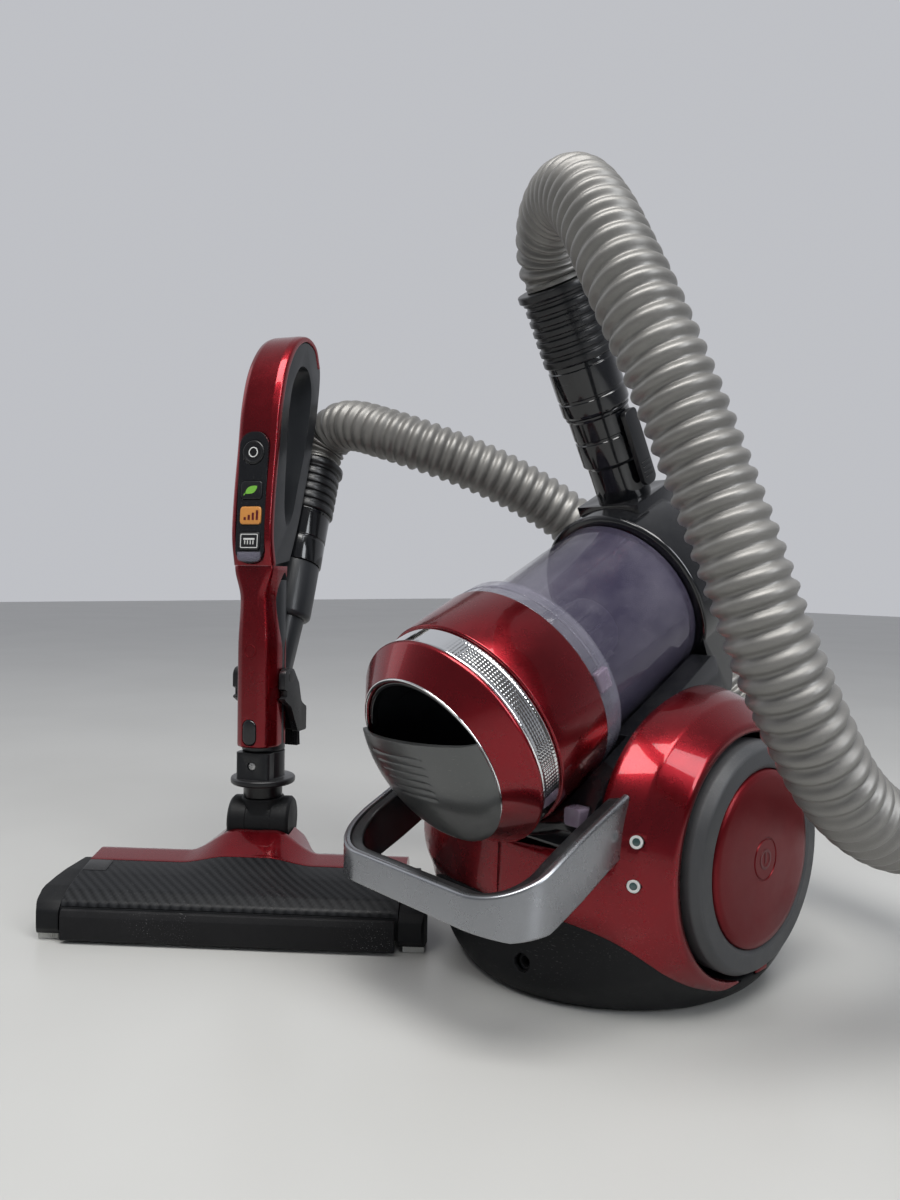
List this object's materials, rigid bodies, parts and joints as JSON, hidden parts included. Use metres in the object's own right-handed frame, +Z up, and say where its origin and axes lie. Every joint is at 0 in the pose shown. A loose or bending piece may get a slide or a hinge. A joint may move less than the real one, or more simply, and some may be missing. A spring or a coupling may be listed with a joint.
{
  "type": "canister vacuum cleaner",
  "caption": "Canister vacuum cleaner with a clear dust cup, ribbed hose, loop handle and powered floor head, parked upright.",
  "frame": {"origin": "on the floor, under the middle of the object's box without its hose", "axes": "+Z up; the dust cup faces -Y; the canister's wheels turn about X"},
  "size_m": [0.5026, 0.4719, 0.4674],
  "materials": {
    "candy_red": "metallic lacquer, high gloss",
    "charcoal_plastic": "fine moulded satin",
    "gloss_black": "polished moulding",
    "silver_paint": "metallic silver lacquer on plastic",
    "chrome_ring": "bright plated",
    "tyre_rubber": "satin rubber",
    "wheel_red": "metallic lacquer, satin gloss",
    "smoky_clear": "clear tinted plastic",
    "satin_grey": "satin metallic grey",
    "grip_grey": "satin moulded",
    "lamp_lens": "small clear lens in a dark ring",
    "filter_paper": "pleated filter paper",
    "board_green": "circuit board lacquer",
    "bare_metal": "plain metal",
    "green_key": "printed film over black",
    "orange_key": "printed film",
    "brush_bristle": "bristle rows on a hub",
    "hose_grey": "metallic grey ribbed skin, satin"
  },
  "bodies": {
    "canister": {"base_cover": "charcoal_plastic", "side_cover_right": "candy_red", "side_cover_left": "candy_red", "rear_cover": "charcoal_plastic", "status_lamp_upper": "lamp_lens", "status_lamp_lower": "lamp_lens", "inlet_tower": "gloss_black", "cup_cradle": "gloss_black", "carry_handle": "silver_paint", "carry_handle_lining": "gloss_black", "motor_housing": "charcoal_plastic", "circuit_board": "board_green", "exhaust_filter": "filter_paper", "cord_gland": "tyre_rubber", "hose_coupling": "gloss_black", "grip_core": "grip_grey", "grip_cover": "candy_red", "control_panel": "gloss_black", "wand_pipe": "grip_grey", "pipe_cover": "candy_red", "hose_collar": "gloss_black", "wand_joint": "gloss_black", "hose": "hose_grey"},
    "impeller": {"motor_impeller": "bare_metal"},
    "reel": {"cord_reel": "grip_grey"},
    "wheel_left": {"wheel_tyre_left": "tyre_rubber", "wheel_disc_left": "wheel_red"},
    "wheel_right": {"wheel_tyre_right": "tyre_rubber", "wheel_disc_right": "wheel_red"},
    "caster": {"caster_fork": "grip_grey"},
    "roller": {"caster_roller": "tyre_rubber"},
    "cup": {"dust_cup": "smoky_clear", "cyclone_core": "satin_grey"},
    "filter_unit": {"filter_case": "candy_red", "lock_ring": "chrome_ring", "cup_cap": "candy_red", "cup_grip": "satin_grey", "grip_recess": "gloss_black", "pleated_filter": "filter_paper"},
    "cup_release": {"cup_release_button": "smoky_clear"},
    "lever": {"coupling_lever": "gloss_black"},
    "canister_swivel": {"swivel_collar": "gloss_black", "hose_cuff_canister": "gloss_black"},
    "handle_swivel": {"hose_cuff_handle": "gloss_black"},
    "stop_key": {"stop_button": "gloss_black"},
    "eco_key": {"eco_button": "green_key"},
    "power_key": {"power_button": "orange_key"},
    "brush_key": {"brush_button": "gloss_black"},
    "pipe_release": {"pipe_release_button": "gloss_black"},
    "tip_brush": {"flip_brush": "gloss_black"},
    "neck": {"neck_drum": "charcoal_plastic"},
    "head": {"head_base": "charcoal_plastic", "head_front_panel": "charcoal_plastic", "head_cover": "candy_red", "end_cap_right": "charcoal_plastic", "end_cap_left": "charcoal_plastic", "brush_motor": "bare_metal"},
    "pedal": {"release_pedal": "gloss_black"},
    "flap": {"bumper_flap": "tyre_rubber"},
    "roll": {"brush_roll": "brush_bristle"}
  },
  "joints": [
    {"name": "wheel_left_spin", "type": "hinge", "parent": "canister", "child": "wheel_left", "pos_m": [-0.00658, 0.10948, 0.0834], "axis": [1, 0, 0], "continuous": true},
    {"name": "wheel_right_spin", "type": "hinge", "parent": "canister", "child": "wheel_right", "pos_m": [0.18542, 0.10948, 0.0834], "axis": [1, 0, 0], "continuous": true},
    {"name": "caster_swivel", "type": "hinge", "parent": "canister", "child": "caster", "pos_m": [0.08942, 0.14848, 0.236], "axis": [0, 1, 0], "continuous": true},
    {"name": "caster_roll", "type": "hinge", "parent": "caster", "child": "roller", "pos_m": [0.08942, 0.16448, 0.232], "axis": [1, 0, 0], "continuous": true},
    {"name": "impeller_spin", "type": "hinge", "parent": "canister", "child": "impeller", "pos_m": [0.10942, 0.08948, 0.056], "axis": [1, 0, 0], "continuous": true},
    {"name": "reel_spin", "type": "hinge", "parent": "canister", "child": "reel", "pos_m": [0.03642, 0.08948, 0.053], "axis": [1, 0, 0], "continuous": true},
    {"name": "cup_lift_out", "type": "slide", "parent": "canister", "child": "cup", "axis": [0, -1, 0], "range_m": [0, 0.08]},
    {"name": "filter_unit_turn", "type": "hinge", "parent": "cup", "child": "filter_unit", "pos_m": [0.08942, -0.00345, 0.16638], "axis": [0, -0.8918, -0.4524], "range_deg": [0, 20]},
    {"name": "cup_release_press", "type": "slide", "parent": "canister", "child": "cup_release", "axis": [0, 1, 0], "range_m": [0, 0.002], "stiffness_N_per_m": 600},
    {"name": "lever_pull", "type": "hinge", "parent": "canister", "child": "lever", "pos_m": [0.11212, 0.1111, 0.30335], "axis": [0, 0.8607, 0.509], "range_deg": [0, 6], "stiffness_Nm_per_rad": 0.3},
    {"name": "hose_swivel_canister", "type": "hinge", "parent": "canister", "child": "canister_swivel", "pos_m": [0.08942, 0.07496, 0.36446], "axis": [0, -0.509, 0.8607], "continuous": true},
    {"name": "hose_swivel_handle", "type": "hinge", "parent": "canister", "child": "handle_swivel", "pos_m": [-0.15848, 0.03229, 0.30713], "axis": [-0.1767, 0.3061, 0.9354], "continuous": true},
    {"name": "stop_press", "type": "slide", "parent": "canister", "child": "stop_key", "axis": [-0.4989, 0.864, -0.0676], "range_m": [0, 0.001], "stiffness_N_per_m": 900},
    {"name": "eco_press", "type": "slide", "parent": "canister", "child": "eco_key", "axis": [-0.4989, 0.864, -0.0676], "range_m": [0, 0.001], "stiffness_N_per_m": 900},
    {"name": "power_press", "type": "slide", "parent": "canister", "child": "power_key", "axis": [-0.4989, 0.864, -0.0676], "range_m": [0, 0.001], "stiffness_N_per_m": 900},
    {"name": "brush_press", "type": "slide", "parent": "canister", "child": "brush_key", "axis": [-0.4989, 0.864, -0.0676], "range_m": [0, 0.001], "stiffness_N_per_m": 900},
    {"name": "pipe_release_press", "type": "slide", "parent": "canister", "child": "pipe_release", "axis": [-0.5, 0.866, 0], "range_m": [0, 0.003], "stiffness_N_per_m": 600},
    {"name": "tip_brush_swing", "type": "hinge", "parent": "canister", "child": "tip_brush", "pos_m": [-0.12588, -0.02419, 0.166], "axis": [0.866, 0.5, 0], "range_deg": [0, 50]},
    {"name": "head_swivel", "type": "hinge", "parent": "canister", "child": "neck", "pos_m": [-0.12488, -0.02592, 0.07], "axis": [0, 0, 1], "range_deg": [-60, 0]},
    {"name": "head_tilt", "type": "hinge", "parent": "neck", "child": "head", "pos_m": [-0.12488, -0.02592, 0.06], "axis": [0.7071, 0.7071, 0], "range_deg": [0, 60]},
    {"name": "pedal_press", "type": "hinge", "parent": "head", "child": "pedal", "pos_m": [-0.07892, 0.00873, 0.029], "axis": [-0.7071, -0.7071, 0], "range_deg": [0, 8], "stiffness_Nm_per_rad": 0.5},
    {"name": "flap_swing", "type": "hinge", "parent": "head", "child": "flap", "pos_m": [-0.06301, -0.08779, 0.0215], "axis": [-0.7071, -0.7071, 0], "range_deg": [0, 15], "stiffness_Nm_per_rad": 0.05},
    {"name": "brush_spin", "type": "hinge", "parent": "head", "child": "roll", "pos_m": [-0.08245, -0.06834, 0.017], "axis": [0.7071, 0.7071, 0], "continuous": true}
  ]
}
